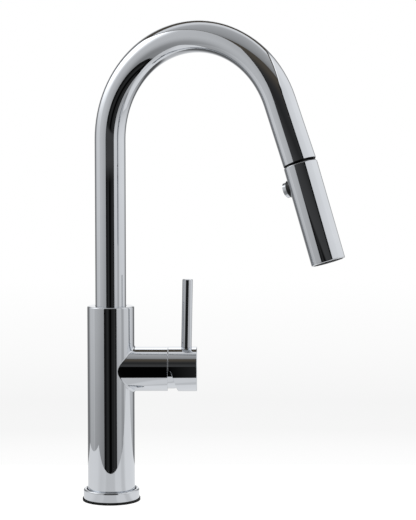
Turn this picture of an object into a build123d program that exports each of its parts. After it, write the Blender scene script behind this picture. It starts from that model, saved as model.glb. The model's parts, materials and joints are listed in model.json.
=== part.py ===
from build123d import *
import os
from math import cos, radians, sin, sqrt

# Pull-down kitchen faucet: a round column on a base ring, a side hub with a single lever, and a
# high swivelling spout whose spray head docks on the end of the down-leg.
# Millimetres. +Z is up, the origin is the centre of the gasket's underside (the deck surface).
# The hub points along +X, and the user stands on the -Y side.

# ---- base -------------------------------------------------------------------------------------
GASKET_R = 28.3
GASKET_H = 2.1
DECK_HOLE_R = 17.0
RING_R = 27.4
RING_WALL_TOP = 10.0
RING_SHELF = 5.0
RING_EDGE = 0.3
STUD_X = -12.8
STUD_R = 3.4                  # M8 tapping size
STUD_DEPTH = 9.0              # also the insert's thickness
INSERT_WEB_X = -7.5           # the web that holds the stud ends here
INSERT_OPENING_R = 16.9

# ---- column -----------------------------------------------------------------------------------
COLUMN_R = 23.0
COLUMN_BORE_R = 20.5
COLUMN_TOP = 191.0
COLUMN_TOP_WALL = 5.0
COLUMN_EDGE = 1.5
RING_GROOVE = 0.9             # radial gap between the column and the base ring
PRESS_GAP = 0.05              # radial gap of pieces pressed or bonded into a bore
SLIDE_GAP = 0.4               # radial gap round a piece that turns or passes freely
THROUGH = 60.0                # length of a cut that goes right through

# ---- hub, valve and cartridge: x is the distance from the column's axis ------------------------
HUB_Z = 129.1
HUB_R = 21.6
HUB_BORE_R = 19.0
HUB_END = 55.6
HUB_EDGE = 0.25
BARREL_R = 18.9
BARREL_END = 54.0
SEAT_X = 22.0                 # face that the cartridge is clamped on
CHAMBER_R = 17.7
PORT_OFFSET = 12.0            # distance of each water port from the column's axis
PORT_R = 4.5                  # M10x1 tapping size
PORT_DEPTH = 9.0
SUPPLY_FACE = -9.0            # height of the supply port faces, from the hub axis
OUTLET_FACE = -15.5
SPOT_FACE_R = 6.6
SUPPLY_CROSS_Z = 3.0
OUTLET_CROSS_Z = -4.0
CROSS_R = 2.8
PIVOT_X = 60.0                # the lever tilts about this point on the hub axis
DOME_R = 19.2
DOME_WALL = 1.3
DOME_START = 54.1
DOME_END = 70.5
HOUSING_R = 17.5
HOUSING_BORE_R = 16.0
HOUSING_SHOULDER = 49.5
NECK_START = 51.0
NECK_END = 68.0
NECK_R = 12.4
NECK_BORE_R = 10.5
NUT_END = 58.4
DISC_FACE = 30.2              # sliding face between the two ceramic discs
DISC_R = 9.6
CARRIER_R = 10.3
ARM_LENGTH = 14.0             # pivot to the ball that drives the moving disc
STEM_Y = 6.2
STEM_Z = 7.0
PIN_R = 1.4

# ---- handle -----------------------------------------------------------------------------------
CAP_R = 21.8
CAP_BORE_R = 19.7
CAP_START = 56.0
CAP_END = 84.0
CAP_END_WALL = 3.0
CAP_EDGE = 0.7
CAP_START_EDGE = 0.25
CUT_EDGE = 0.25              # chamfer round the mouth of the oblique cut
CUT_START_X = 58.2            # oblique cut that lets the cap's lower half swing inwards
CUT_END_X = 65.8
CUT_TOP = 0.8
BOSS_START = 74.0
BOSS_R = 6.5
LEVER_X = 73.6
LEVER_SEAT = 20.8             # height of the lever's foot above the hub axis
LEVER_R = 5.1
LEVER_LENGTH = 67.1
LEVER_LEAN = 1.1              # degrees outwards
LEVER_EDGE = 0.6
SET_SCREW_X = 77.5
SET_SCREW_R = 2.45
SET_SCREW_LENGTH = 4.0
HEX_KEY = 2.5                 # key size of both hidden screws, and the depth of their sockets

# ---- spout: u is the distance from the swivel axis in the spout's vertical plane ---------------
SPOUT_ANGLE = -30.25          # swung towards the user from +X
TUBE_R = 15.0
TUBE_BORE_R = 13.8
ARC_R = 95.5
ARC_Z = 352.4
LEG_ANGLE = 20.4              # lean of the down-leg from vertical
LEG_LENGTH = 59.3
LEG_END_R = 15.4              # the down-leg widens a little towards the head
TUBE_START = 176.0
FOOT_START = 156.0
FOOT_SPIGOT = 12.0
FOOT_BORE_R = 11.5
SWIVEL_CLEARANCE = 0.08
UPPER_BUSH = (178.0, 185.9)
LOWER_BUSH = (157.0, 163.0)
RETAINER_Z = 168.3
RETAINER_R = 2.45
RETAINER_TIP_R = 1.9
GROOVE_HALF = 2.3
GROOVE_R = 13.0

# ---- spray head: s is the distance along the head's axis, from the middle of the dock gap ------
HEAD_ANGLE = 18.15            # lean of the head from vertical, a little steeper than the leg
HEAD_R = 15.6
HEAD_BORE_R = 13.9
DOCK_HALF_GAP = 1.05
HEAD_END = 92.9
HEAD_TOP_WALL = 2.5
HEAD_EDGE = 0.9
SPIGOT_R = 10.8
SPIGOT_START = -13.0
COLLAR_BORE_R = 11.9
BALL_S = 8.0
BALL_R = 6.8
BUTTON_S = 19.0
BUTTON_R = 7.2
BUTTON_FACE = 20.6            # outer face of the button, from the head's axis
BUTTON_BACK = 14.6
BUTTON_EDGE = 2.2
BEZEL_R = 8.2
BEZEL_FACE = 16.9
BEZEL_EDGE = 0.4
SPRING_START = 9.6
WATERWAY_R = 9.4
WATERWAY_START = 9.2
FLANGE_START = 82.0
FLANGE_END = 84.5
CHANNEL_START = 27.0
CHANNEL_R = 7.0
FACEPLATE_START = 86.2
FACEPLATE_END = 91.4
NUB_RINGS = ((11.7, 18), (9.2, 12))   # radius and count of the spray nozzles
NUB_R = 0.8
JET_R = 0.35

# ---- hose -------------------------------------------------------------------------------------
HOSE_R = 5.5
HOSE_BORE_R = 3.5
HOSE_START = 20.0
HOSE_ARC_R = 97.0
HOSE_END_S = -4.0
FERRULE_R = 6.4
SUPPLY_SPIGOT_R = 4.6         # the hose's end below, which the link hose pushes onto

# ---- planes -----------------------------------------------------------------------------------
UP = Vector(0, 0, 1)
OUT = Vector(cos(radians(SPOUT_ANGLE)), sin(radians(SPOUT_ANGLE)), 0)
HUB = Plane((0, 0, HUB_Z), x_dir=(0, 1, 0), z_dir=(1, 0, 0))
HUB_SECTION = Plane((0, 0, HUB_Z), x_dir=(1, 0, 0), z_dir=(0, -1, 0))
HUB_AXIS = Axis((0, 0, HUB_Z), (1, 0, 0))
SPOUT_PLANE = Plane((0, 0, 0), x_dir=OUT, z_dir=OUT.cross(UP))


def leaning(angle):
    """Direction that points down and outwards in the spout's plane, at an angle from vertical."""
    return OUT * sin(radians(angle)) - UP * cos(radians(angle))


def facing_column(angle):
    """Direction square to leaning(angle), from the head towards the column."""
    return OUT * -cos(radians(angle)) - UP * sin(radians(angle))


LEG_TOP_U = ARC_R + ARC_R * cos(radians(LEG_ANGLE))
LEG_TOP_Z = ARC_Z + ARC_R * sin(radians(LEG_ANGLE))
LEG_TOP = OUT * LEG_TOP_U + UP * LEG_TOP_Z
GAP = LEG_TOP + leaning(LEG_ANGLE) * LEG_LENGTH
LEG = Plane(GAP, x_dir=facing_column(LEG_ANGLE), z_dir=leaning(LEG_ANGLE))
HEAD = Plane(GAP, x_dir=facing_column(HEAD_ANGLE), z_dir=leaning(HEAD_ANGLE))
BACK = Plane((0, 0, RETAINER_Z), z_dir=(0, 1, 0))
BUTTON_AXIS = Plane(
    GAP + leaning(HEAD_ANGLE) * BUTTON_S,
    x_dir=OUT.cross(UP),
    z_dir=facing_column(HEAD_ANGLE),
)


def level(z):
    """Horizontal plane at a height above the deck."""
    return Plane.XY.offset(z)


def tube(plane, outer, inner, length, mode=Mode.ADD):
    """Round tube, or a rod when inner is 0, that grows from a plane along its normal."""
    with BuildSketch(plane) as section:
        Circle(outer)
        if inner:
            Circle(inner, mode=Mode.SUBTRACT)
    extrude(section.sketch, amount=length, mode=mode)


def rods(plane, places, radius, length, mode=Mode.ADD):
    """Equal rods at several places on a plane."""
    with BuildSketch(plane) as section:
        with Locations(*places):
            Circle(radius)
    extrude(section.sketch, amount=length, mode=mode)


def around(radius, count):
    """Points spaced evenly round a circle."""
    turns = [radians(360 * i / count) for i in range(count)]
    return [(radius * cos(t), radius * sin(t)) for t in turns]


def hex_socket(plane, across, depth):
    """Hexagonal key socket cut along the plane's normal."""
    with BuildSketch(plane) as section:
        RegularPolygon(across / 2, 6, major_radius=False)
    extrude(section.sketch, amount=depth, mode=Mode.SUBTRACT)


os.makedirs("parts", exist_ok=True)


def write(piece, name):
    """Label a finished sub-part and write its STEP file."""
    piece.label = name
    export_step(piece, f"parts/{name}.step")


# ---- base pieces ------------------------------------------------------------------------------
with BuildPart() as base_gasket:
    tube(level(0), GASKET_R, DECK_HOLE_R, GASKET_H)
write(base_gasket.part, "base_gasket")

ring_bore_r = COLUMN_R + RING_GROOVE
bead_r = (RING_R - ring_bore_r) / 2
with BuildPart() as base_ring:
    with BuildSketch(Plane.XZ):
        with BuildLine():
            Polyline(
                (DECK_HOLE_R, GASKET_H),
                (RING_R - RING_EDGE, GASKET_H),
                (RING_R, GASKET_H + RING_EDGE),
                (RING_R, RING_WALL_TOP),
            )
            ThreePointArc(
                (RING_R, RING_WALL_TOP),
                (RING_R - bead_r, RING_WALL_TOP + bead_r),
                (ring_bore_r, RING_WALL_TOP),
            )
            Polyline(
                (ring_bore_r, RING_WALL_TOP),
                (ring_bore_r, RING_SHELF),
                (DECK_HOLE_R, RING_SHELF),
                (DECK_HOLE_R, GASKET_H),
            )
        make_face()
    revolve(axis=Axis.Z)
write(base_ring.part, "base_ring")

insert_r = COLUMN_BORE_R - PRESS_GAP
with BuildPart() as base_insert:
    tube(level(RING_SHELF), insert_r, INSERT_OPENING_R, STUD_DEPTH)
    with BuildSketch(level(RING_SHELF)):
        Circle(insert_r)
        with Locations((INSERT_WEB_X - COLUMN_R, 0)):
            Rectangle(2 * COLUMN_R, 2 * COLUMN_R, mode=Mode.INTERSECT)
    extrude(amount=STUD_DEPTH)
    with Locations((STUD_X, 0, RING_SHELF + STUD_DEPTH)):
        Hole(STUD_R)
write(base_insert.part, "base_insert")

# ---- column and hub shells --------------------------------------------------------------------
neck_z = COLUMN_TOP - COLUMN_TOP_WALL
hub_cut_start = 5.0           # inside the column's bore, so that each cut meets one wall only
retainer_hole_r = RETAINER_R + 0.25
with BuildPart() as column_shell:
    tube(level(RING_SHELF), COLUMN_R, COLUMN_BORE_R, neck_z - RING_SHELF)
    tube(level(neck_z), COLUMN_R, TUBE_R + SLIDE_GAP, COLUMN_TOP_WALL)
    top_edges = column_shell.edges().filter_by(GeomType.CIRCLE).group_by(Axis.Z)[-1]
    fillet(top_edges.sort_by(SortBy.RADIUS)[-1], COLUMN_EDGE)
    tube(HUB.offset(hub_cut_start), HUB_BORE_R, 0, COLUMN_R, Mode.SUBTRACT)
    tube(BACK.offset(TUBE_R), retainer_hole_r, 0, COLUMN_R, Mode.SUBTRACT)
write(column_shell.part, "column_shell")

with BuildPart() as hub_shell:
    tube(HUB.offset(hub_cut_start), HUB_R, HUB_BORE_R, HUB_END - hub_cut_start)
    end_circles = hub_shell.edges().filter_by(GeomType.CIRCLE).group_by(Axis.X)[-1]
    fillet(end_circles.sort_by(SortBy.RADIUS)[-1], HUB_EDGE)
    tube(HUB.offset(DOME_START - 0.1), DOME_R + 0.15, 0, HUB_END, Mode.SUBTRACT)
    tube(level(HUB_Z - THROUGH / 2), COLUMN_R, 0, THROUGH, Mode.SUBTRACT)
write(hub_shell.part, "hub_shell")

# ---- valve body: a brass barrel that slides in through the hub ---------------------------------
supply_places = [(0, PORT_OFFSET), (0, -PORT_OFFSET)]
outlet_places = [(PORT_OFFSET, 0)]
cross_places = [(PORT_OFFSET, SUPPLY_CROSS_Z), (-PORT_OFFSET, SUPPLY_CROSS_Z)]
underside = THROUGH / 2       # depth below the hub axis that the ports are cut from
overcut = 1.0                 # each passage runs on this far into the next one


def port(places, face, cross_z):
    """Spot face, threaded port and riser up to the cross passage, cut from below."""
    port_end = face + PORT_DEPTH
    rods(level(HUB_Z - underside), places, SPOT_FACE_R, underside + face, Mode.SUBTRACT)
    rods(level(HUB_Z + face), places, PORT_R, PORT_DEPTH, Mode.SUBTRACT)
    riser_start = level(HUB_Z + port_end - overcut)
    rods(riser_start, places, CROSS_R, cross_z - port_end + 2 * overcut, Mode.SUBTRACT)


with BuildPart() as valve_body:
    tube(level(HUB_Z - BARREL_R), COLUMN_BORE_R - PRESS_GAP, 0, 2 * BARREL_R)
    tube(HUB.offset(-COLUMN_R), BARREL_R, 0, 2 * COLUMN_R, Mode.INTERSECT)
    tube(HUB, BARREL_R, 0, BARREL_END)
    tube(HUB.offset(SEAT_X), CHAMBER_R, 0, BARREL_END, Mode.SUBTRACT)
    tube(level(HUB_Z - THROUGH / 2), HOSE_R + 0.6, 0, THROUGH, Mode.SUBTRACT)
    port(supply_places, SUPPLY_FACE, SUPPLY_CROSS_Z)
    port(outlet_places, OUTLET_FACE, OUTLET_CROSS_Z)
    rods(HUB, cross_places, CROSS_R, SEAT_X + overcut, Mode.SUBTRACT)
    rods(HUB.offset(PORT_OFFSET), [(0, OUTLET_CROSS_Z)], CROSS_R, SEAT_X, Mode.SUBTRACT)
write(valve_body.part, "valve_body")

# ---- cartridge --------------------------------------------------------------------------------
seal_places = cross_places + [(0, OUTLET_CROSS_Z)]
seal_r = CROSS_R + 1.1
seal_height = 1.0
base_height = 4.0
base_face = SEAT_X + base_height
with BuildPart() as cartridge_base:
    tube(HUB.offset(SEAT_X), HOUSING_R, 0, base_height)
    rods(HUB.offset(SEAT_X), seal_places, seal_r + PRESS_GAP, seal_height, Mode.SUBTRACT)
    rods(HUB.offset(SEAT_X), seal_places, CROSS_R, base_height, Mode.SUBTRACT)
write(cartridge_base.part, "cartridge_base")

with BuildPart() as cartridge_seals:
    rods(HUB.offset(SEAT_X), seal_places, seal_r, seal_height)
    rods(HUB.offset(SEAT_X), seal_places, CROSS_R, seal_height, Mode.SUBTRACT)
write(cartridge_seals.part, "cartridge_seals")

with BuildPart() as cartridge_housing:
    tube(HUB.offset(base_face), HOUSING_R, HOUSING_BORE_R, HOUSING_SHOULDER - base_face)
    tube(HUB.offset(HOUSING_SHOULDER), HOUSING_R, NECK_BORE_R, NECK_START - HOUSING_SHOULDER)
    tube(HUB.offset(NECK_START), NECK_R, NECK_BORE_R, NECK_END - NECK_START)
write(cartridge_housing.part, "cartridge_housing")

with BuildPart() as fixed_disc:
    tube(HUB.offset(base_face), HOUSING_BORE_R - 0.3, 0, DISC_FACE - base_face)
    rods(HUB.offset(SEAT_X), seal_places, CROSS_R - 0.3, DISC_FACE, Mode.SUBTRACT)
write(fixed_disc.part, "fixed_disc")

disc_thickness = 4.0
disc_start = DISC_FACE + SWIVEL_CLEARANCE
with BuildPart() as moving_disc:
    tube(HUB.offset(disc_start), DISC_R, 0, disc_thickness)
    tube(HUB.offset(DISC_FACE), 0.7 * DISC_R, 0, disc_thickness / 2, Mode.SUBTRACT)
write(moving_disc.part, "moving_disc")

carrier_start = disc_start + disc_thickness
ball_x = PIVOT_X - ARM_LENGTH
ball_r = 2.3
socket_r = ball_r + 0.5
with BuildPart() as disc_carrier:
    tube(HUB.offset(carrier_start), DISC_R, 0, ball_x + ball_r + 0.2 - carrier_start)
    tube(HUB.offset(ball_x - socket_r - 1.2), socket_r, 0, ARM_LENGTH, Mode.SUBTRACT)
write(disc_carrier.part, "disc_carrier")

slot_half = 7.6               # the stem swings inside this slot
stem_carrier_start = HOUSING_SHOULDER + 0.2
stem_carrier_end = NECK_END - 0.5
PIVOT = Plane((PIVOT_X, 0, HUB_Z), z_dir=(0, 1, 0))
with BuildPart() as stem_carrier:
    tube(HUB.offset(stem_carrier_start), CARRIER_R, 0, stem_carrier_end - stem_carrier_start)
    with BuildSketch(HUB.offset(HOUSING_SHOULDER)):
        Rectangle(STEM_Y + 0.5, 2 * slot_half)
    extrude(amount=NECK_END, mode=Mode.SUBTRACT)
    tube(PIVOT.offset(-COLUMN_R), PIN_R, 0, 2 * COLUMN_R, Mode.SUBTRACT)
write(stem_carrier.part, "stem_carrier")

pin_half = CARRIER_R - 0.5
with BuildPart() as stem_pin:
    tube(PIVOT.offset(-pin_half), PIN_R, 0, 2 * pin_half)
write(stem_pin.part, "stem_pin")

stem_end = CAP_END - CAP_END_WALL - 1
stem_start = PIVOT_X - 3
arm_r = 1.6
with BuildPart() as cartridge_stem:
    with BuildSketch(HUB.offset(stem_start)):
        Rectangle(STEM_Y, STEM_Z)
    extrude(amount=stem_end - stem_start)
    tube(HUB.offset(ball_x), arm_r, 0, ARM_LENGTH - 2)
    with Locations((ball_x, 0, HUB_Z)):
        Sphere(ball_r)
    tube(PIVOT.offset(-COLUMN_R), PIN_R + SWIVEL_CLEARANCE, 0, 2 * COLUMN_R, Mode.SUBTRACT)
write(cartridge_stem.part, "cartridge_stem")

key_slots = 4
with BuildPart() as cartridge_nut:
    tube(HUB.offset(NECK_START), HOUSING_R + 0.1, NECK_R + 0.2, NUT_END - NECK_START)
    with BuildSketch(HUB.offset(NUT_END)):
        with PolarLocations(HOUSING_R - 1, key_slots):
            Rectangle(4, 3.5)
    extrude(amount=-2.5, mode=Mode.SUBTRACT)
write(cartridge_nut.part, "cartridge_nut")

dome_bore_r = DOME_R - DOME_WALL
dome_reach = DOME_END - PIVOT_X
with BuildPart() as cartridge_dome:
    with BuildSketch(HUB_SECTION):
        with BuildLine():
            rim_outer = (DOME_END, sqrt(DOME_R**2 - dome_reach**2))
            rim_inner = (DOME_END, sqrt(dome_bore_r**2 - dome_reach**2))
            Polyline(
                (PIVOT_X, dome_bore_r),
                (DOME_START, dome_bore_r),
                (DOME_START, DOME_R),
                (PIVOT_X, DOME_R),
            )
            RadiusArc((PIVOT_X, DOME_R), rim_outer, DOME_R)
            Line(rim_outer, rim_inner)
            RadiusArc(rim_inner, (PIVOT_X, dome_bore_r), -dome_bore_r)
        make_face()
    revolve(axis=HUB_AXIS)
write(cartridge_dome.part, "cartridge_dome")

# ---- handle -----------------------------------------------------------------------------------
LEVER_FOOT = Vector(LEVER_X, 0, HUB_Z + LEVER_SEAT)
LEVER = Plane(LEVER_FOOT, z_dir=(sin(radians(LEVER_LEAN)), 0, cos(radians(LEVER_LEAN))))
lever_spigot_r = 2.5
lever_spigot_length = 3.0
key_depth = CAP_R + 5
UNDERSIDE = Plane((SET_SCREW_X, 0, HUB_Z - key_depth), z_dir=(0, 0, 1))
cut_below = CAP_R + 3         # the oblique cut is drawn down to here


def wide_mouth(edge):
    """True for the long arcs of the oblique cut that lie on the cap's outer face."""
    place = edge.position_at(0.5)
    from_axis = sqrt(place.Y**2 + (place.Z - HUB_Z) ** 2)
    return edge.length > CAP_R and from_axis > CAP_R - CAP_EDGE


with BuildPart() as handle_cap:
    tube(HUB.offset(CAP_START), CAP_R, CAP_BORE_R, CAP_END - CAP_START)
    tube(HUB.offset(CAP_END - CAP_END_WALL), CAP_R, 0, CAP_END_WALL)
    outer_edges = handle_cap.edges().filter_by(GeomType.CIRCLE).group_by(Axis.X)[-1]
    fillet(outer_edges, CAP_EDGE)
    start_circles = handle_cap.edges().filter_by(GeomType.CIRCLE).group_by(Axis.X)[0]
    fillet(start_circles.sort_by(SortBy.RADIUS)[-1], CAP_START_EDGE)
    tube(HUB.offset(BOSS_START), BOSS_R, 0, CAP_END - CAP_END_WALL - BOSS_START)
    with BuildSketch(HUB.offset(BOSS_START)):
        Rectangle(STEM_Y + 0.1, STEM_Z + 0.1)
    extrude(amount=stem_end + 0.2 - BOSS_START, mode=Mode.SUBTRACT)
    with BuildSketch(level(HUB_Z + LEVER_SEAT - 3.3)):
        with Locations((LEVER_X, 0)):
            Rectangle(2 * LEVER_R - 0.2, 2 * LEVER_R + 0.8)
    extrude(amount=3.5)
    with BuildSketch(HUB_SECTION.offset(-2 * CAP_R)):
        Polygon(
            (CAP_START - 5, CUT_TOP),
            (CUT_START_X, CUT_TOP),
            (CUT_END_X, -CAP_R),
            (CUT_END_X + 1, -cut_below),
            (CAP_START - 5, -cut_below),
            align=None,
        )
    extrude(amount=4 * CAP_R, mode=Mode.SUBTRACT)
    on_cut = handle_cap.edges().filter_by(GeomType.ELLIPSE).filter_by(wide_mouth)
    chamfer(on_cut, CUT_EDGE)
    tube(LEVER, LEVER_R + 0.1, 0, LEVER_LENGTH, Mode.SUBTRACT)
    tube(LEVER.offset(-6), lever_spigot_r + 0.1, 0, 12, Mode.SUBTRACT)
    tube(UNDERSIDE, SET_SCREW_R + SLIDE_GAP, 0, key_depth - BOSS_R - 1, Mode.SUBTRACT)
    tube(UNDERSIDE, SET_SCREW_R + PRESS_GAP, 0, key_depth - STEM_Z / 2, Mode.SUBTRACT)
write(handle_cap.part, "handle_cap")

with BuildPart() as lever_rod:
    tube(LEVER, LEVER_R, 0, LEVER_LENGTH)
    chamfer(lever_rod.edges().filter_by(GeomType.CIRCLE), LEVER_EDGE)
    tube(LEVER.offset(-lever_spigot_length), lever_spigot_r, 0, lever_spigot_length + 1)
write(lever_rod.part, "lever_rod")

screw_top = HUB_Z - STEM_Z / 2 - PRESS_GAP
screw_end = Plane((SET_SCREW_X, 0, screw_top - SET_SCREW_LENGTH), z_dir=(0, 0, 1))
with BuildPart() as handle_set_screw:
    tube(screw_end, SET_SCREW_R, 0, SET_SCREW_LENGTH)
    hex_socket(screw_end, HEX_KEY, HEX_KEY)
write(handle_set_screw.part, "handle_set_screw")

# ---- swivel -----------------------------------------------------------------------------------
bush_bore_r = TUBE_R + SWIVEL_CLEARANCE
bush_r = COLUMN_BORE_R - PRESS_GAP
with BuildPart() as upper_bush:
    tube(level(UPPER_BUSH[0]), bush_r, bush_bore_r, UPPER_BUSH[1] - UPPER_BUSH[0])
write(upper_bush.part, "upper_bush")

with BuildPart() as lower_bush:
    tube(level(LOWER_BUSH[0]), bush_r, bush_bore_r, LOWER_BUSH[1] - LOWER_BUSH[0])
write(lower_bush.part, "lower_bush")

with BuildPart() as swivel_housing:
    tube(level(LOWER_BUSH[1]), bush_r, TUBE_R + SLIDE_GAP, UPPER_BUSH[0] - LOWER_BUSH[1])
    tube(BACK, RETAINER_R + PRESS_GAP, 0, COLUMN_R, Mode.SUBTRACT)
write(swivel_housing.part, "swivel_housing")

tip_start = GROOVE_R + 0.35
thread_start = TUBE_R + 0.6
thread_end = COLUMN_R - 0.8   # the screw ends below the column's surface
with BuildPart() as retaining_screw:
    tube(BACK.offset(tip_start), RETAINER_TIP_R, 0, thread_start - tip_start + overcut)
    tube(BACK.offset(thread_start), RETAINER_R, 0, thread_end - thread_start)
    hex_socket(BACK.offset(thread_end - HEX_KEY), HEX_KEY, 2 * HEX_KEY)
write(retaining_screw.part, "retaining_screw")

# ---- spout ------------------------------------------------------------------------------------
with BuildPart() as spout_foot:
    tube(level(FOOT_START), TUBE_R, FOOT_BORE_R, TUBE_START - FOOT_START)
    tube(level(TUBE_START), TUBE_BORE_R - PRESS_GAP, FOOT_BORE_R, FOOT_SPIGOT)
    tube(level(RETAINER_Z - GROOVE_HALF), TUBE_R + 1, GROOVE_R, 2 * GROOVE_HALF, Mode.SUBTRACT)
write(spout_foot.part, "spout_foot")

with BuildPart() as spout_tube:
    with BuildLine(SPOUT_PLANE) as spout_path:
        Line((0, TUBE_START), (0, ARC_Z))
        CenterArc((ARC_R, ARC_Z), ARC_R, 180, LEG_ANGLE - 180)
    with BuildSketch(level(TUBE_START)):
        Circle(TUBE_R)
    sweep(path=spout_path.line)
    with BuildSketch(LEG.offset(-LEG_LENGTH)):
        Circle(TUBE_R)
    with BuildSketch(LEG.offset(-DOCK_HALF_GAP)):
        Circle(LEG_END_R)
    loft()
    with BuildLine(SPOUT_PLANE) as bore_path:
        Line((0, TUBE_START), (0, ARC_Z))
        CenterArc((ARC_R, ARC_Z), ARC_R, 180, LEG_ANGLE - 180)
        PolarLine(bore_path.line @ 1, LEG_LENGTH, direction=bore_path.line % 1)
    with BuildSketch(level(TUBE_START)):
        Circle(TUBE_BORE_R)
    sweep(path=bore_path.line, mode=Mode.SUBTRACT)
write(spout_tube.part, "spout_tube")

collar_start = -26.0
with BuildPart() as docking_collar:
    collar_r = TUBE_BORE_R - PRESS_GAP
    tube(LEG.offset(collar_start), collar_r, COLLAR_BORE_R, -DOCK_HALF_GAP - collar_start)
write(docking_collar.part, "docking_collar")

gasket_height = 0.6
with BuildPart() as dock_gasket:
    tube(LEG.offset(-DOCK_HALF_GAP), LEG_END_R - 0.5, COLLAR_BORE_R + 0.4, gasket_height)
write(dock_gasket.part, "dock_gasket")

# ---- hose -------------------------------------------------------------------------------------
# The hose is straight up the swivel axis, bends round the arch in one arc, and runs straight
# into the head. The arc touches both lines, which fixes the height of its centre.
gap_u = LEG_TOP_U + LEG_LENGTH * sin(radians(LEG_ANGLE))
gap_z = LEG_TOP_Z - LEG_LENGTH * cos(radians(LEG_ANGLE))
head_sin = sin(radians(HEAD_ANGLE))
head_cos = cos(radians(HEAD_ANGLE))
hose_arc_z = gap_z + (head_cos * (gap_u - HOSE_ARC_R) - HOSE_ARC_R) / head_sin
hose_end = (gap_u + HOSE_END_S * head_sin, gap_z - HOSE_END_S * head_cos)
with BuildPart() as spray_hose:
    with BuildLine(SPOUT_PLANE) as hose_path:
        Line((0, HOSE_START), (0, hose_arc_z))
        CenterArc((HOSE_ARC_R, hose_arc_z), HOSE_ARC_R, 180, HEAD_ANGLE - 180)
        Line(hose_path.line @ 1, hose_end)
    with BuildSketch(level(HOSE_START)):
        Circle(HOSE_R)
        Circle(HOSE_BORE_R, mode=Mode.SUBTRACT)
    sweep(path=hose_path.line)
write(spray_hose.part, "spray_hose")
hose_length = hose_path.wires()[0].length
hose_section = spray_hose.faces().sort_by(Axis.Z)[0].area
print("hose length", round(hose_length, 1), "volume", round(spray_hose.part.volume, 1))
print("section times length", round(hose_section * hose_length, 1))

barb_length = 12.0            # of each fitting, inside the hose
with BuildPart() as hose_tail_ferrule:
    tube(level(HOSE_START), FERRULE_R, HOSE_R + PRESS_GAP, barb_length + 2)
write(hose_tail_ferrule.part, "hose_tail_ferrule")

spigot_z = 3.0
hex_z = 15.0
nipple_bore_r = 2.4
with BuildPart() as hose_tail_nipple:
    tube(level(spigot_z), SUPPLY_SPIGOT_R, nipple_bore_r, hex_z - spigot_z)
    tube(level(hex_z), FERRULE_R - 0.2, nipple_bore_r, HOSE_START - hex_z)
    tube(level(HOSE_START), HOSE_BORE_R - PRESS_GAP, nipple_bore_r, barb_length)
write(hose_tail_nipple.part, "hose_tail_nipple")

with BuildPart() as hose_head_ferrule:
    tube(HEAD.offset(HOSE_END_S - barb_length), FERRULE_R + 0.2, HOSE_R + 0.3, barb_length)
write(hose_head_ferrule.part, "hose_head_ferrule")

ball_bore_r = 2.2
with BuildPart() as ball_fitting:
    with BuildSketch(Plane(GAP, x_dir=HEAD.z_dir, z_dir=HEAD.y_dir)):
        with Locations((BALL_S, 0)):
            Circle(BALL_R)
        with Locations((BALL_S, -BALL_R)):
            Rectangle(4 * BALL_R, 2 * BALL_R, mode=Mode.SUBTRACT)
    revolve(axis=Axis(GAP, HEAD.z_dir))
    tube(HEAD.offset(HOSE_END_S), FERRULE_R - 0.1, 0, 2)
    tube(HEAD.offset(HOSE_END_S - 10), HOSE_BORE_R - 0.3, 0, barb_length)
    tube(HEAD.offset(HOSE_END_S), 4.0, 0, 6)
    tube(HEAD.offset(HOSE_END_S - barb_length), ball_bore_r, 0, THROUGH, Mode.SUBTRACT)
write(ball_fitting.part, "ball_fitting")

# ---- spray head -------------------------------------------------------------------------------
bezel_back = 11.4
with BuildPart() as head_shell:
    tube(HEAD.offset(DOCK_HALF_GAP), HEAD_R, 0, HEAD_END - DOCK_HALF_GAP)
    end_edges = head_shell.edges().filter_by(GeomType.CIRCLE)
    fillet(end_edges, HEAD_EDGE)
    bore_start = DOCK_HALF_GAP + HEAD_TOP_WALL
    tube(HEAD.offset(bore_start), HEAD_BORE_R, 0, HEAD_END, Mode.SUBTRACT)
    tube(HEAD, SPIGOT_R + PRESS_GAP, 0, bore_start + overcut, Mode.SUBTRACT)
    tube(BUTTON_AXIS.offset(bezel_back / 2), BEZEL_R + PRESS_GAP, 0, HEAD_R, Mode.SUBTRACT)
write(head_shell.part, "head_shell")

hose_hole_r = 7.6             # clear of the ferrule and of the ball's neck
lip_start = 2.4               # the lip that holds the ball from above
lip_end = 3.8
lip_r = 5.6
cup_r = BALL_R + 0.3
collar_height = 0.5
with BuildPart() as dock_spigot:
    tube(HEAD.offset(SPIGOT_START), SPIGOT_R, hose_hole_r, lip_start - SPIGOT_START)
    tube(HEAD.offset(DOCK_HALF_GAP - collar_height), HEAD_R - 0.9, hose_hole_r, collar_height)
    tube(HEAD.offset(lip_start), SPIGOT_R, lip_r, lip_end - lip_start)
    tube(HEAD.offset(lip_end), SPIGOT_R, cup_r, WATERWAY_START - lip_end)
write(dock_spigot.part, "dock_spigot")

seal_start = 12.6
ball_seal_height = 2.0
with BuildPart() as ball_seal:
    tube(HEAD.offset(seal_start), BALL_R + 0.25, 5.25, ball_seal_height)
write(ball_seal.part, "ball_seal")

spool_bore_r = 3.7
cup_end = seal_start + ball_seal_height + 0.2
with BuildPart() as waterway:
    tube(HEAD.offset(WATERWAY_START), WATERWAY_R, 0, FLANGE_START - WATERWAY_START)
    tube(HEAD.offset(FLANGE_START), HEAD_BORE_R - 0.2, 0, FLANGE_END - FLANGE_START)
    tube(BUTTON_AXIS, 6.0, 0, SPRING_START - 0.1)
    tube(HEAD.offset(WATERWAY_START), cup_r, 0, cup_end - WATERWAY_START, Mode.SUBTRACT)
    tube(HEAD.offset(cup_end - overcut), 2.9, 0, CHANNEL_START - cup_end + 2, Mode.SUBTRACT)
    tube(HEAD.offset(CHANNEL_START), CHANNEL_R, 0, HEAD_END, Mode.SUBTRACT)
    tube(BUTTON_AXIS.offset(1 - SPRING_START), spool_bore_r, 0, 20, Mode.SUBTRACT)
    rods(HEAD.offset(FLANGE_START - overcut), around(11.5, 8), 1.5, 6, Mode.SUBTRACT)
write(waterway.part, "waterway")

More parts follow.
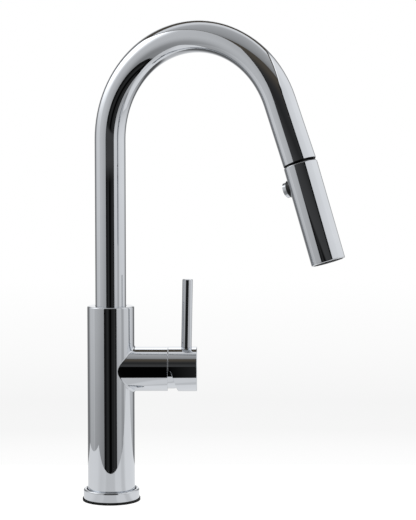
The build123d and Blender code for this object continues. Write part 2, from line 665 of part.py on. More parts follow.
valve_bore_r = 5.2
with BuildPart() as check_valve:
    tube(HEAD.offset(CHANNEL_START + 0.2), CHANNEL_R - 0.1, valve_bore_r, 14)
    tube(HEAD.offset(CHANNEL_START + 5), valve_bore_r, 0, 2)
    tube(HEAD.offset(CHANNEL_START + 3), 1.2, 0, 9)
    rods(HEAD.offset(CHANNEL_START + 4), around(3.2, 6), 0.9, 4, Mode.SUBTRACT)
write(check_valve.part, "check_valve")

with BuildPart() as button_bezel:
    tube(BUTTON_AXIS.offset(bezel_back), BEZEL_R, BUTTON_R + 0.3, BEZEL_FACE - bezel_back)
    rim_edges = button_bezel.edges().filter_by(GeomType.CIRCLE).sort_by(SortBy.RADIUS)[-2:]
    fillet(rim_edges.sort_by_distance(GAP)[-1], BEZEL_EDGE)
write(button_bezel.part, "button_bezel")

with BuildPart() as spray_button:
    tube(BUTTON_AXIS.offset(BUTTON_BACK), BUTTON_R, 0, BUTTON_FACE - BUTTON_BACK)
    fillet(spray_button.edges().filter_by(GeomType.CIRCLE).sort_by_distance(GAP)[0], BUTTON_EDGE)
write(spray_button.part, "spray_button")

spool_lands = (-6.0, -1.5, 3.0)   # each land is two collars with an O-ring between them
spool_r = 2.2
land_r = spool_bore_r - 0.3
first_collar = 1.2
second_collar = 0.8
ring_height = 0.9
with BuildPart() as diverter_spool:
    tube(BUTTON_AXIS.offset(spool_lands[0]), spool_r, 0, BUTTON_BACK - spool_lands[0])
    for place in spool_lands:
        tube(BUTTON_AXIS.offset(place), land_r, 0, first_collar)
        tube(BUTTON_AXIS.offset(place + first_collar + 1), land_r, 0, second_collar)
write(diverter_spool.part, "diverter_spool")

with BuildPart() as spool_seals:
    for place in spool_lands:
        ring_start = place + first_collar + PRESS_GAP
        tube(BUTTON_AXIS.offset(ring_start), land_r + 0.2, spool_r + PRESS_GAP, ring_height)
write(spool_seals.part, "spool_seals")

spring_wire_r = 0.3
spring_r = 4.4
spring_turns = 4
spring_height = BUTTON_BACK - SPRING_START - 2 * spring_wire_r - 0.2
spring_foot = BUTTON_AXIS.offset(SPRING_START + spring_wire_r + 0.1).origin
spring_axis = BUTTON_AXIS.z_dir
pitch = spring_height / spring_turns
with BuildPart() as button_spring:
    with BuildLine() as coil:
        Helix(pitch, spring_height, spring_r, center=spring_foot, direction=spring_axis)
    with BuildSketch(Plane(coil.line @ 0, z_dir=coil.line % 0)):
        Circle(spring_wire_r)
    sweep(path=coil.line)
write(button_spring.part, "button_spring")

pad_start = FLANGE_END + 0.1
nub_start = pad_start + 0.9
nub_length = HEAD_END - 0.3 - nub_start
with BuildPart() as spray_nozzles:
    tube(HEAD.offset(pad_start), HEAD_BORE_R - 0.3, CHANNEL_R + SLIDE_GAP, 1.5)
    for ring_radius, count in NUB_RINGS:
        rods(HEAD.offset(nub_start), around(ring_radius, count), NUB_R, nub_length)
        rods(HEAD.offset(FLANGE_END), around(ring_radius, count), JET_R, HEAD_END, Mode.SUBTRACT)
write(spray_nozzles.part, "spray_nozzles")

faceplate_r = HEAD_BORE_R - PRESS_GAP
nub_hole_r = NUB_R + PRESS_GAP
with BuildPart() as spray_faceplate:
    tube(HEAD.offset(FACEPLATE_START), faceplate_r, CHANNEL_R, FACEPLATE_END - FACEPLATE_START)
    for ring_radius, count in NUB_RINGS:
        rods(HEAD.offset(FACEPLATE_START), around(ring_radius, count), nub_hole_r, 10, Mode.SUBTRACT)
write(spray_faceplate.part, "spray_faceplate")

aerator_start = 76.0
aerator_end = HEAD_END - 1.1
aerator_bore_r = 5.8
screen_height = 1.2
with BuildPart() as aerator:
    tube(HEAD.offset(aerator_start), CHANNEL_R - PRESS_GAP, aerator_bore_r, aerator_end - aerator_start)
    tube(HEAD.offset(aerator_end - 1.5 * screen_height), aerator_bore_r, 0, screen_height)
    screen_holes = [(0, 0)] + around(1.8, 6) + around(3.6, 12)
    rods(HEAD.offset(aerator_end - 3), screen_holes, 0.65, 4, Mode.SUBTRACT)
write(aerator.part, "aerator")
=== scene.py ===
import json
from math import atan2, cos, pi, radians, sin, sqrt

import bpy
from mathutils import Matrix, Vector


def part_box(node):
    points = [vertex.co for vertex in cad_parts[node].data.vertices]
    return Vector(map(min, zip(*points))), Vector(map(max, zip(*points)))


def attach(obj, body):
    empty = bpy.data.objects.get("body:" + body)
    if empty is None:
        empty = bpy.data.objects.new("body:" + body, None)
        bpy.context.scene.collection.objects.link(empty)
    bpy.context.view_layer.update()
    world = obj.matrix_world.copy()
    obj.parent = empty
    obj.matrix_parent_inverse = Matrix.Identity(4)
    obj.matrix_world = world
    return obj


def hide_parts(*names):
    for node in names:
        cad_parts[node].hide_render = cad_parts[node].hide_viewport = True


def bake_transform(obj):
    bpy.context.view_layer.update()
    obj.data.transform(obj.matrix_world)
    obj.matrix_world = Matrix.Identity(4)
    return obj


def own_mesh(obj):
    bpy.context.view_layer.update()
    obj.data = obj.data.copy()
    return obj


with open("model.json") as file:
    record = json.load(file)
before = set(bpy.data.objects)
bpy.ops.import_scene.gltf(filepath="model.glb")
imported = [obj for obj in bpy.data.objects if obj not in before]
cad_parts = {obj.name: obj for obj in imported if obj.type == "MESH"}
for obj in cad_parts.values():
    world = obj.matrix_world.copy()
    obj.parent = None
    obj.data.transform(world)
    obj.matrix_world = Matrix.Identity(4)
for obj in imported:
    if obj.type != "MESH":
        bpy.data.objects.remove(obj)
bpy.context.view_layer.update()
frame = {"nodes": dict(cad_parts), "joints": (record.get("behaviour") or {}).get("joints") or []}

# A chrome pull-down kitchen faucet in a white studio. Metres; +Z is up, and the user stands on -Y.
scene = bpy.context.scene
scene.view_settings.view_transform = "Standard"
joints = {joint["name"]: joint for joint in frame["joints"]}


# ---- node helpers -----------------------------------------------------------------------------
class Tree:
    """A node tree being built: each call adds a node and returns the output that it is used for."""

    def __init__(self, tree):
        self.nodes = tree.nodes
        self.links = tree.links
        self.nodes.clear()

    def feed(self, socket, value):
        """Link an output to a socket, or set the socket's own value."""
        if isinstance(value, bpy.types.NodeSocket):
            self.links.new(value, socket)
        else:
            socket.default_value = value

    def add(self, kind, **settings):
        node = self.nodes.new(kind)
        for name, value in settings.items():
            setattr(node, name, value)
        return node

    def math(self, operation, *values):
        node = self.add("ShaderNodeMath", operation=operation)
        for socket, value in zip(node.inputs, values):
            self.feed(socket, value)
        return node.outputs[0]

    def rescale(self, value, low, high, new_low=0.0, new_high=1.0, smooth=False):
        """Map a range of a value to another range, clamped."""
        kind = "SMOOTHSTEP" if smooth else "LINEAR"
        node = self.add("ShaderNodeMapRange", interpolation_type=kind)
        for socket, number in zip(node.inputs, (value, low, high, new_low, new_high)):
            self.feed(socket, number)
        return node.outputs[0]

    def mix(self, factor, first, second, blend="MIX"):
        node = self.add("ShaderNodeMix", data_type="RGBA", blend_type=blend)
        self.feed(node.inputs["Factor"], factor)
        self.feed(node.inputs[6], first)
        self.feed(node.inputs[7], second)
        return node.outputs[2]

    def ramp(self, value, stops):
        """Colour ramp from (position, grey or colour) stops."""
        node = self.add("ShaderNodeValToRGB")
        elements = node.color_ramp.elements
        while len(elements) < len(stops):
            elements.new(0.5)
        for element, (position, colour) in zip(elements, stops):
            element.position = position
            element.color = colour if isinstance(colour, tuple) else (colour, colour, colour, 1)
        self.feed(node.inputs[0], value)
        return node.outputs[0]

    def table(self, value, stops):
        """Ramp whose stops are given in the value's own units."""
        low, high = stops[0][0], stops[-1][0]
        scaled = [((place - low) / (high - low), colour) for place, colour in stops]
        return self.ramp(self.rescale(value, low, high), scaled)

    def split(self, vector):
        node = self.add("ShaderNodeSeparateXYZ")
        self.feed(node.inputs[0], vector)
        return node.outputs[0], node.outputs[1], node.outputs[2]


# ---- camera -----------------------------------------------------------------------------------
LENS_MM = 108.66
CAMERA_PLACE = (0.09469, -1.52192, 0.34149)
CAMERA_TILT = 3.98            # degrees below level
camera = bpy.data.objects.new("camera", bpy.data.cameras.new("camera"))
camera.data.lens = LENS_MM
camera.location = CAMERA_PLACE
camera.rotation_euler = (radians(90 - CAMERA_TILT), 0, 0)
scene.collection.objects.link(camera)
scene.camera = camera


# ---- studio room ------------------------------------------------------------------------------
# How bright the room beyond the studio's panels is, from 0 to 1 of a white sheet, by the angle
# round the horizon: 0 is behind the camera, and positive angles are on the camera's right.
AROUND = [
    (-180, 1.00), (-171, 1.00), (-162, 0.50), (-150, 0.24), (-136, 0.20), (-127, 0.30),
    (-118, 0.70), (-60, 0.55), (-34, 0.50), (-31, 0.01), (31, 0.01), (34, 0.75), (100, 0.82),
    (128, 0.76), (138, 0.36), (146, 0.17), (160, 0.20), (169, 1.00), (180, 1.00),
]
RISING = [(-40, 0.37), (-15, 0.53), (0, 0.67), (20, 0.67), (45, 1.0)]      # by elevation
ROOM_STRENGTH = 1.5
# What the camera itself sees behind the faucet, by elevation: a sweep that is greyest low down.
SWEEP = [
    (-11.6, 1.0), (-11.2, 0.985), (-10.7, 0.962), (-10.1, 0.922), (-9.1, 0.912), (-8.6, 0.925),
    (-7.3, 0.955), (-6.2, 0.973), (-4.7, 1.0),
]
world = bpy.data.worlds.new("studio")
scene.world = world
world.use_nodes = True
sky = Tree(world.node_tree)
x, y, z = sky.split(sky.add("ShaderNodeTexCoord").outputs["Generated"])
azimuth = sky.math("DEGREES", sky.math("ARCTAN2", x, sky.math("MULTIPLY", y, -1.0)))
elevation = sky.math("DEGREES", sky.math("ARCSINE", z))
room = sky.mix(1.0, sky.table(azimuth, AROUND), sky.table(elevation, RISING), "MULTIPLY")
room = sky.mix(1.0, room, (ROOM_STRENGTH, ROOM_STRENGTH, ROOM_STRENGTH, 1), "MULTIPLY")
seen = sky.add("ShaderNodeLightPath").outputs["Is Camera Ray"]
background = sky.add("ShaderNodeBackground")
sky.feed(background.inputs["Color"], sky.mix(seen, room, sky.table(elevation, SWEEP)))
output = sky.add("ShaderNodeOutputWorld")
sky.feed(output.inputs["Surface"], background.outputs[0])


# ---- studio panels: what the polished chrome reflects -----------------------------------------
def glowing(name, paint):
    """Material that only glows; paint makes its colour from a point's x, y and z."""
    material = bpy.data.materials.new(name)
    material.use_nodes = True
    tree = Tree(material.node_tree)
    x, y, z = tree.split(tree.add("ShaderNodeTexCoord").outputs["Object"])
    glow = tree.add("ShaderNodeEmission")
    tree.feed(glow.inputs["Color"], paint(tree, x, y, z))
    output = tree.add("ShaderNodeOutputMaterial")
    tree.feed(output.inputs["Surface"], glow.outputs[0])
    return material


def panel(name, corners, material):
    """Flat studio panel from its corners."""
    mesh = bpy.data.meshes.new(name)
    mesh.from_pydata(corners, [], [range(len(corners))])
    mesh.materials.append(material)
    piece = bpy.data.objects.new(name, mesh)
    scene.collection.objects.link(piece)
    return piece


def reflected(name, corners, paint):
    """Panel that shows in the chrome, and neither in the picture nor as a light or a shadow."""
    piece = panel(name, corners, glowing(name, paint))
    piece.visible_camera = False
    piece.visible_diffuse = False
    piece.visible_shadow = False


PIT = -0.6                    # the upright panels reach down to here
CEILING = 0.81
WALL_TOP = 1.25
FLAG_LEFT = -0.338            # the black flag between the camera and the faucet
FLAG_RIGHT = 0.342
FLAG_Y = -0.58
LEFT_X = -0.75
RIGHT_X = 0.80
WALL_FRONT = -1.30
LEFT_BACK = 0.62
RIGHT_BACK = 1.05
FRAME_SIDES = (-0.36, 0.43)   # dark frame of the ceiling's panel
FRAME_ENDS = (-0.58, 0.50)
LAMP_SIDES = (-0.33, 0.40)
LAMP_ENDS = (-0.42, 0.165)
LAMP_DROP = 0.004
BROWN = (0.085, 0.073, 0.058, 1)


def paint_flag(tree, x, y, z):
    """Nearly black, with faint upright bands low down and greyer above them."""
    bands = tree.table(x, [
        (-0.36, 0.010), (-0.25, 0.008), (-0.12, 0.030), (-0.06, 0.012), (-0.02, 0.001),
        (0.04, 0.001), (0.09, 0.022), (0.16, 0.020), (0.22, 0.040), (0.27, 0.018), (0.34, 0.026),
    ])
    upper = tree.table(z, [
        (0.30, 0.010), (0.32, 0.060), (0.42, 0.050), (0.52, 0.026), (0.60, 0.034), (0.81, BROWN),
    ])
    return tree.mix(tree.rescale(z, 0.28, 0.33), bands, upper)


def paint_left(tree, x, y, z):
    """Grey wall, brighter upwards, with a soft box at its back."""
    along = tree.table(y, [
        (-1.30, 0.48), (-0.75, 0.53), (-0.40, 0.60), (-0.12, 0.65), (-0.07, 0.84), (-0.02, 0.75),
        (0.30, 0.76), (0.42, 0.60), (0.60, 0.32),
    ])
    upwards = tree.table(z, [
        (-0.60, 0.50), (-0.20, 0.58), (-0.07, 0.66), (0.05, 0.80), (0.20, 0.94), (0.40, 1.06),
    ])
    high = tree.rescale(z, 0.38, 0.75, smooth=True)
    box = tree.math("MULTIPLY", high, tree.rescale(y, -0.35, 0.05, 0.0, 1.1, smooth=True))
    lit = tree.mix(1.0, along, upwards, "MULTIPLY")
    return tree.mix(1.0, lit, box, "ADD")


def paint_right(tree, x, y, z):
    """White wall, a little brighter upwards, with one grey band low down."""
    along = tree.table(y, [
        (-1.30, 0.72), (-0.72, 0.76), (-0.30, 0.80), (-0.20, 0.85), (0.42, 0.88), (0.62, 0.78),
        (0.84, 0.60), (1.05, 0.28),
    ])
    band = tree.table(y, [(-0.64, 1.0), (-0.54, 0.72), (-0.36, 0.64), (-0.31, 1.0)])
    low = tree.mix(tree.rescale(z, 0.26, 0.42), band, (1, 1, 1, 1))
    upwards = tree.table(z, [(-0.60, 0.50), (-0.07, 0.68), (0.05, 0.84), (0.20, 0.96), (0.55, 1.10)])
    return tree.mix(1.0, tree.mix(1.0, along, upwards, "MULTIPLY"), low, "MULTIPLY")


def paint_lamp(tree, x, y, z):
    return tree.table(y, [
        (-0.42, 0.25), (-0.30, 0.36), (-0.15, 0.43), (-0.03, 0.50), (0.01, 0.60), (0.05, 0.82),
        (0.17, 0.86),
    ])


def paint_frame(tree, x, y, z):
    return BROWN


def upright_x(x, front, back, low, high):
    """Corners of a wall that faces along X."""
    return [(x, front, low), (x, back, low), (x, back, high), (x, front, high)]


def level(z, sides, ends):
    """Corners of a level rectangle."""
    return [(sides[0], ends[0], z), (sides[1], ends[0], z), (sides[1], ends[1], z), (sides[0], ends[1], z)]


flag_corners = [
    (FLAG_LEFT, FLAG_Y, PIT),
    (FLAG_RIGHT, FLAG_Y, PIT),
    (FLAG_RIGHT, FLAG_Y, CEILING),
    (FLAG_LEFT, FLAG_Y, CEILING),
]
reflected("studio_flag", flag_corners, paint_flag)
reflected("studio_left", upright_x(LEFT_X, WALL_FRONT, LEFT_BACK, PIT, WALL_TOP), paint_left)
reflected("studio_right", upright_x(RIGHT_X, WALL_FRONT, RIGHT_BACK, PIT, WALL_TOP), paint_right)
reflected("studio_frame", level(CEILING, FRAME_SIDES, FRAME_ENDS), paint_frame)
reflected("studio_lamp", level(CEILING - LAMP_DROP, LAMP_SIDES, LAMP_ENDS), paint_lamp)

# The white board that the faucet stands on. Its front edge has a notch, the sink side, where the
# spray head hangs clear of it when it is pulled out.
BOARD_LEFT = -0.28
BOARD_RIGHT = 0.75
BOARD_FRONT = -0.168
BOARD_BACK = 0.166
NOTCH_LEFT = 0.225
NOTCH_RIGHT = 0.320
NOTCH_BACK = -0.105
board_corners = [
    (BOARD_LEFT, BOARD_FRONT, 0),
    (NOTCH_LEFT, BOARD_FRONT, 0),
    (NOTCH_LEFT, NOTCH_BACK, 0),
    (NOTCH_RIGHT, NOTCH_BACK, 0),
    (NOTCH_RIGHT, BOARD_FRONT, 0),
    (BOARD_RIGHT, BOARD_FRONT, 0),
    (BOARD_RIGHT, BOARD_BACK, 0),
    (BOARD_LEFT, BOARD_BACK, 0),
]


def white_board():
    """Matt white, lit from within so that it matches the sweep behind it."""
    material = bpy.data.materials.new("studio_board")
    material.use_nodes = True
    tree = Tree(material.node_tree)
    x, y, z = tree.split(tree.add("ShaderNodeTexCoord").outputs["Object"])
    shader = tree.add("ShaderNodeBsdfPrincipled")
    shader.inputs["Roughness"].default_value = 0.7
    shader.inputs["Base Color"].default_value = (0.12, 0.12, 0.12, 1)
    tree.feed(shader.inputs["Emission Color"], tree.table(y, [(BOARD_FRONT, 0.99), (0.0, 1.0)]))
    shader.inputs["Emission Strength"].default_value = 0.96
    output = tree.add("ShaderNodeOutputMaterial")
    tree.feed(output.inputs["Surface"], shader.outputs[0])
    return material


def paint_board_shade(tree, x, y, z):
    """Painted shade: the board as the chrome shows it, a greyer copy of the white board, with wedges of
    painted shade round the column.
    """
    around = tree.math("DEGREES", tree.math("ARCTAN2", x, tree.math("MULTIPLY", y, -1.0)))
    return tree.table(around, [
        (-180, 0.78), (-90, 0.84), (-64, 0.82), (-46, 0.70), (-24, 0.73), (-18, 0.65), (16, 0.65),
        (22, 0.78), (44, 0.78), (52, 0.66), (62, 0.68), (72, 0.86), (130, 0.88), (180, 0.78),
    ])


board = panel("studio_board", board_corners, white_board())
board.visible_glossy = False
whole_board = level(0, (BOARD_LEFT, BOARD_RIGHT), (BOARD_FRONT, BOARD_BACK))
# Painted shade: a greyer copy of the board, in wedges round the column, that only the chrome shows.
reflected("studio_board_mirrored", whole_board, paint_board_shade)


def soft_light(name, place, aim, size, power):
    """Area light that lights the dull pieces and doesn't show in the chrome."""
    light = bpy.data.objects.new(name, bpy.data.lights.new(name, "AREA"))
    light.data.size = size
    light.data.energy = power
    light.location = place
    light.rotation_euler = (Vector(place) - Vector(aim)).to_track_quat("Z", "Y").to_euler()
    light.visible_glossy = False
    scene.collection.objects.link(light)


MIDDLE = (0.05, 0.0, 0.2)
soft_light("key_light", (-0.9, -1.1, 1.3), MIDDLE, 0.8, 12)
soft_light("fill_light", (1.2, -0.6, 0.9), MIDDLE, 0.8, 8)
soft_light("back_light", (-0.2, 1.3, 0.9), MIDDLE, 0.8, 6)


# ---- materials --------------------------------------------------------------------------------
class Finish(Tree):
    """A material with one principled shader, in Object coordinates, which are metres."""

    def __init__(self, name, metallic=0.0):
        self.material = bpy.data.materials.new(name)
        self.material.use_nodes = True
        super().__init__(self.material.node_tree)
        self.place = self.add("ShaderNodeTexCoord").outputs["Object"]
        self.shader = self.add("ShaderNodeBsdfPrincipled")
        self.shader.inputs["Metallic"].default_value = metallic
        output = self.add("ShaderNodeOutputMaterial")
        self.feed(output.inputs["Surface"], self.shader.outputs[0])

    def set(self, socket, value):
        self.feed(self.shader.inputs[socket], value)

    def noise(self, scale, detail=3.0, stretch=(1, 1, 1)):
        """Noise from 0 to 1; a stretch above 1 packs it tighter along that axis."""
        mapping = self.add("ShaderNodeMapping")
        self.feed(mapping.inputs["Vector"], self.place)
        mapping.inputs["Scale"].default_value = stretch
        node = self.add("ShaderNodeTexNoise")
        self.feed(node.inputs["Vector"], mapping.outputs[0])
        node.inputs["Scale"].default_value = scale
        node.inputs["Detail"].default_value = detail
        return node.outputs[0]

    def colour(self, value, dark, light):
        self.set("Base Color", self.ramp(value, [(0.3, (*dark, 1)), (0.7, (*light, 1))]))

    def rough(self, value, low, high):
        self.set("Roughness", self.rescale(value, 0.3, 0.7, low, high))

    def bump(self, height, depth):
        """Bump of a height map that is depth metres deep."""
        node = self.add("ShaderNodeBump")
        node.inputs["Distance"].default_value = depth
        self.feed(node.inputs["Height"], height)
        self.set("Normal", node.outputs[0])


def chrome():
    """Polished plating: a faint blue tint, wiped haze, and hardly any ripple."""
    finish = Finish("polished_chrome", metallic=1.0)
    haze = finish.noise(28, 4)
    wiped = finish.noise(60, 3, (1, 1, 0.12))
    finish.colour(haze, (0.680, 0.705, 0.742), (0.705, 0.730, 0.766))
    finish.rough(finish.math("MULTIPLY", haze, finish.math("ADD", wiped, 0.5)), 0.012, 0.045)
    finish.bump(finish.noise(70, 2), 0.000012)
    return finish.material


def black_rubber():
    finish = Finish("black_rubber")
    grain = finish.noise(1500, 2)
    finish.colour(finish.noise(120), (0.003, 0.003, 0.003), (0.008, 0.008, 0.008))
    finish.rough(grain, 0.45, 0.70)
    finish.bump(grain, 0.00004)
    finish.shader.inputs["Specular IOR Level"].default_value = 0.12
    return finish.material


def white_acetal():
    """Turned plastic, slightly waxy, with fine tool rings."""
    finish = Finish("white_acetal")
    rings = finish.noise(300, 2, (0.3, 0.3, 6))
    finish.colour(finish.noise(90), (0.74, 0.73, 0.70), (0.84, 0.83, 0.80))
    finish.rough(rings, 0.28, 0.42)
    finish.bump(rings, 0.00003)
    finish.shader.inputs["Subsurface Weight"].default_value = 0.15
    finish.shader.inputs["Subsurface Radius"].default_value = (0.002, 0.0018, 0.0015)
    return finish.material


def moulded(name, dark, light, low, high):
    """Moulded plastic with a fine spark-eroded grain and faint flow marks."""
    finish = Finish(name)
    grain = finish.noise(2200, 2)
    finish.colour(finish.noise(45, 5, (1, 1, 3)), dark, light)
    finish.rough(grain, low, high)
    finish.bump(grain, 0.00003)
    return finish.material


def brass():
    """Machined brass: fine tool marks, and a little tarnish in blotches."""
    finish = Finish("brass", metallic=1.0)
    marks = finish.noise(220, 2, (9, 0.6, 0.6))
    tarnish = finish.noise(75, 5)
    finish.colour(tarnish, (0.55, 0.38, 0.16), (0.80, 0.62, 0.32))
    finish.rough(finish.mix(0.5, marks, tarnish), 0.18, 0.42)
    finish.bump(marks, 0.00004)
    return finish.material


def ceramic():
    finish = Finish("ceramic")
    speckle = finish.noise(3000, 1)
    finish.colour(speckle, (0.78, 0.78, 0.77), (0.88, 0.88, 0.86))
    finish.rough(finish.noise(150), 0.10, 0.24)
    finish.bump(speckle, 0.000006)
    return finish.material


def steel():
    """Brushed along X, with a soft grey cast."""
    finish = Finish("steel", metallic=1.0)
    brushed = finish.noise(700, 2, (0.08, 1, 1))
    finish.colour(finish.noise(60, 4), (0.46, 0.46, 0.47), (0.60, 0.60, 0.60))
    finish.rough(brushed, 0.20, 0.40)
    finish.bump(brushed, 0.00002)
    return finish.material


def silicone():
    """Soft grey spray nozzles: dull, slightly dusty."""
    finish = Finish("silicone")
    dust = finish.noise(400, 4)
    finish.colour(dust, (0.075, 0.078, 0.082), (0.13, 0.13, 0.135))
    finish.rough(dust, 0.42, 0.62)
    finish.bump(finish.noise(1800, 1), 0.00003)
    finish.shader.inputs["Sheen Weight"].default_value = 0.1
    return finish.material


# ---- the head's axis --------------------------------------------------------------------------
BALL_BELOW_GAP = 0.008        # from the dock's gap down to the middle of the head's ball
spin = joints["head_spin"]
HEAD_AXIS = Vector(spin["axis"]).normalized()
GAP = Vector(spin["pos_m"]) - HEAD_AXIS * BALL_BELOW_GAP
SPOUT_OUT = Vector((HEAD_AXIS.x, HEAD_AXIS.y, 0)).normalized()
ACROSS = SPOUT_OUT.cross(Vector((0, 0, 1)))

HOSE_R = 0.0055
BRAID_TURN = 0.028            # length along the hose in which a strand goes round once
BRAID_STRANDS = 12


def hose_braid():
    """Black nylon braid: two sets of strands that cross, in coordinates round the head's axis, with
    painted shade darkening the gaps between the strands.
    """
    finish = Finish("hose_braid")
    offset = finish.add("ShaderNodeVectorMath", operation="SUBTRACT")
    finish.feed(offset.inputs[0], finish.place)
    offset.inputs[1].default_value = GAP

    def along(direction):
        node = finish.add("ShaderNodeVectorMath", operation="DOT_PRODUCT")
        finish.feed(node.inputs[0], offset.outputs[0])
        node.inputs[1].default_value = direction
        return node.outputs["Value"]

    turn = finish.math("ARCTAN2", along(ACROSS), along(ACROSS.cross(HEAD_AXIS)))
    turn = finish.math("MULTIPLY", turn, BRAID_STRANDS)
    climb = finish.math("MULTIPLY", along(HEAD_AXIS), 2 * pi * BRAID_STRANDS / BRAID_TURN)
    strands = [
        finish.math("SINE", finish.math(way, turn, climb))
        for way in ("ADD", "SUBTRACT")
    ]
    weave_and_gap_shade = finish.rescale(finish.math("MAXIMUM", *strands), -1, 1, smooth=True)
    fibres = finish.noise(2600, 2)
    height = finish.math("ADD", weave_and_gap_shade, finish.math("MULTIPLY", fibres, 0.2))
    # Painted shade: the braid is coloured darker in the gaps between strands and lighter on their crowns.
    finish.colour(weave_and_gap_shade, (0.006, 0.006, 0.007), (0.030, 0.030, 0.032))
    finish.rough(fibres, 0.36, 0.60)
    finish.bump(height, 0.0004)
    return finish.material


finishes = {
    "chrome": chrome(),
    "black_rubber": black_rubber(),
    "white_acetal": white_acetal(),
    "black_plastic": moulded("black_plastic", (0.004, 0.004, 0.004), (0.009, 0.009, 0.010), 0.18, 0.34),
    "grey_plastic": moulded("grey_plastic", (0.20, 0.21, 0.22), (0.28, 0.29, 0.30), 0.35, 0.5),
    "dark_face": moulded("dark_face", (0.030, 0.031, 0.034), (0.055, 0.056, 0.060), 0.3, 0.45),
    "brass": brass(),
    "ceramic": ceramic(),
    "steel": steel(),
    "hose_braid": hose_braid(),
    "silicone": silicone(),
}
for node in frame["nodes"].values():
    node.material_slots[0].material = finishes[node.material_slots[0].material.name]


# ---- pieces -----------------------------------------------------------------------------------
def new_piece(name, points, faces, slot):
    """Smoothly shaded mesh piece in a finish."""
    mesh = bpy.data.meshes.new(name)
    mesh.from_pydata(points, [], faces)
    mesh.materials.append(finishes[slot])
    piece = bpy.data.objects.new(name, mesh)
    scene.collection.objects.link(piece)
    mesh.polygons.foreach_set("use_smooth", [True] * len(mesh.polygons))
    return piece


def strips(rows, around):
    """Quads between rows of points that each go all the way round."""
    faces = []
    for row in range(rows - 1):
        for i in range(around):
            j = (i + 1) % around
            a, b = row * around, (row + 1) * around
            faces.append((a + i, a + j, b + j, b + i))
    return faces


column_low, column_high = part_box("column_shell")
hub_low, hub_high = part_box("hub_shell")
COLUMN_R = (column_high.x - column_low.x) / 2
HUB_R = (hub_high.z - hub_low.z) / 2
HUB_Z = (hub_high.z + hub_low.z) / 2
BRAZE_R = 0.0020              # hollow of the brazed joint between the column and the hub
BRAZE_STEPS = 8
BRAZE_TURNS = 180


def braze_row(turn):
    """Points across the braze at one place round the hub, from the column to the hub."""
    reach = HUB_R + BRAZE_R
    side, rise = reach * sin(turn), reach * cos(turn)
    centre = Vector((sqrt((COLUMN_R + BRAZE_R) ** 2 - side**2), side, rise))
    on_column = Vector((centre.x, centre.y, 0)).normalized() * COLUMN_R
    on_column.z = centre.z
    on_hub = Vector((centre.x, side * HUB_R / reach, rise * HUB_R / reach))
    first, last = on_column - centre, on_hub - centre
    row = []
    for step in range(BRAZE_STEPS + 1):
        spoke = first.slerp(last, step / BRAZE_STEPS)
        row.append(centre + spoke.normalized() * BRAZE_R + Vector((0, 0, HUB_Z)))
    return row


braze_rows = [braze_row(2 * pi * i / BRAZE_TURNS) for i in range(BRAZE_TURNS)]
braze_points = [row[step] for step in range(BRAZE_STEPS + 1) for row in braze_rows]
braze_faces = [face[::-1] for face in strips(BRAZE_STEPS + 1, BRAZE_TURNS)]
hub_braze = new_piece("hub_braze", braze_points, braze_faces, "chrome")
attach(hub_braze, "body")

# The hose goes straight up the swivel's axis, round the arch in one arc, and straight into the
# head. Its stretch just above the head, which slides out of the spout on the real faucet, is a piece of
# its own in fine rows.
HOSE_START_Z = 0.020
HOSE_ARC_R = 0.097
HOSE_END = -0.0045            # this place and the next two are along the head's axis from the gap
SLIDE_START = -0.055
SLIDE_END = -0.017
ROW_GAP = 0.004
FINE_ROWS = 200               # of the stretch that slides
FITTING_ROWS = 3              # from there to the hose's end
HOSE_SIDES = 32


def hose_in_spout():
    """Centre line up the swivel's axis and round the arch, to where the sliding stretch starts."""
    lean = atan2(HEAD_AXIS.dot(SPOUT_OUT), -HEAD_AXIS.z)
    gap_u = GAP.dot(SPOUT_OUT)
    arc_z = GAP.z + (cos(lean) * (gap_u - HOSE_ARC_R) - HOSE_ARC_R) / sin(lean)
    rise = arc_z - HOSE_START_Z
    rows = round(rise / ROW_GAP)
    line = [(0.0, HOSE_START_Z + rise * i / rows) for i in range(rows)]
    turn = pi - lean
    rows = round(turn * HOSE_ARC_R / ROW_GAP)
    for i in range(rows + 1):
        angle = pi - turn * i / rows
        line.append((HOSE_ARC_R * (1 + cos(angle)), arc_z + HOSE_ARC_R * sin(angle)))
    centres = [SPOUT_OUT * u + Vector((0, 0, z)) for u, z in line]
    arc_end = (centres[-1] - GAP).dot(HEAD_AXIS)
    rows = max(1, round((SLIDE_START - arc_end) / ROW_GAP))
    places = [arc_end + (SLIDE_START - arc_end) * i / rows for i in range(1, rows + 1)]
    return centres + [GAP + HEAD_AXIS * place for place in places]


def hose_that_slides():
    """Centre line of the stretch above the head, in fine rows, and on into the head's fitting."""
    places = [SLIDE_START + (SLIDE_END - SLIDE_START) * i / FINE_ROWS for i in range(FINE_ROWS + 1)]
    step = (HOSE_END - SLIDE_END) / FITTING_ROWS
    places += [SLIDE_END + step * i for i in range(1, FITTING_ROWS + 1)]
    return [GAP + HEAD_AXIS * place for place in places]


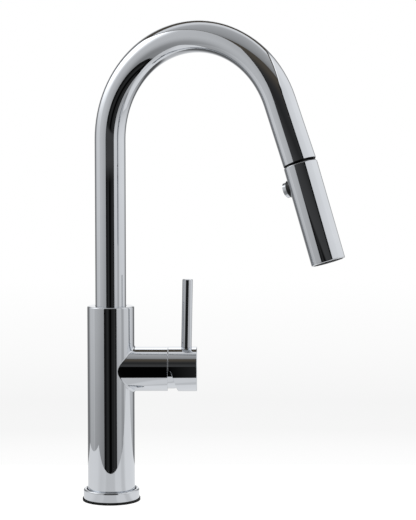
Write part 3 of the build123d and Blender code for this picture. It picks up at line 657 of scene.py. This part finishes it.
def hose_along(centres):
    """Points and faces of the hose along centres that lie in the spout's upright plane."""
    points = []
    for i, centre in enumerate(centres):
        ahead = centres[min(i + 1, len(centres) - 1)] - centres[max(i - 1, 0)]
        out = ACROSS.cross(ahead.normalized())
        for k in range(HOSE_SIDES):
            turn = 2 * pi * k / HOSE_SIDES
            points.append(centre + (ACROSS * cos(turn) + out * sin(turn)) * HOSE_R)
    return points, strips(len(centres), HOSE_SIDES)


hose = new_piece("braided_hose", *hose_along(hose_in_spout()), "hose_braid")
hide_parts("spray_hose")
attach(hose, "spout")
hose_lead = new_piece("braided_hose_lead", *hose_along(hose_that_slides()), "hose_braid")
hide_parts("spray_hose")
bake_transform(hose_lead)

# The spring behind the button, built at its resting length; the real spring shortens as the button is
# pressed.
SPRING_LENGTH = 0.00435       # between the middles of the wire, in a seat 5 mm deep
SPRING_R = 0.0044
SPRING_WIRE_R = 0.0003
SPRING_TURNS = 5
SPRING_FLAT = 0.11            # share of the wire at each end that lies flat
SPRING_ROWS = 240
SPRING_SIDES = 10
press_axis = Vector(joints["spray_button_press"]["axis"]).normalized()
spring_low, spring_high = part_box("button_spring")
spring_foot = (spring_low + spring_high) / 2 + press_axis * SPRING_LENGTH / 2


def spring_coil():
    """Points and faces of the coil, from its foot out to the button."""
    side = press_axis.cross(HEAD_AXIS).normalized()
    other = press_axis.cross(side)
    points = []
    for row in range(SPRING_ROWS + 1):
        share = row / SPRING_ROWS
        turn = 2 * pi * SPRING_TURNS * share
        climb = min(max((share - SPRING_FLAT) / (1 - 2 * SPRING_FLAT), 0), 1) * SPRING_LENGTH
        spoke = side * cos(turn) + other * sin(turn)
        centre = spring_foot - press_axis * climb + spoke * SPRING_R
        for k in range(SPRING_SIDES):
            angle = 2 * pi * k / SPRING_SIDES
            points.append(centre + (spoke * cos(angle) + press_axis * sin(angle)) * SPRING_WIRE_R)
    return points, strips(SPRING_ROWS + 1, SPRING_SIDES)


coil = new_piece("button_coil", *spring_coil(), "steel")
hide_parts("button_spring")
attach(coil, "spray_head")
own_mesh(coil)
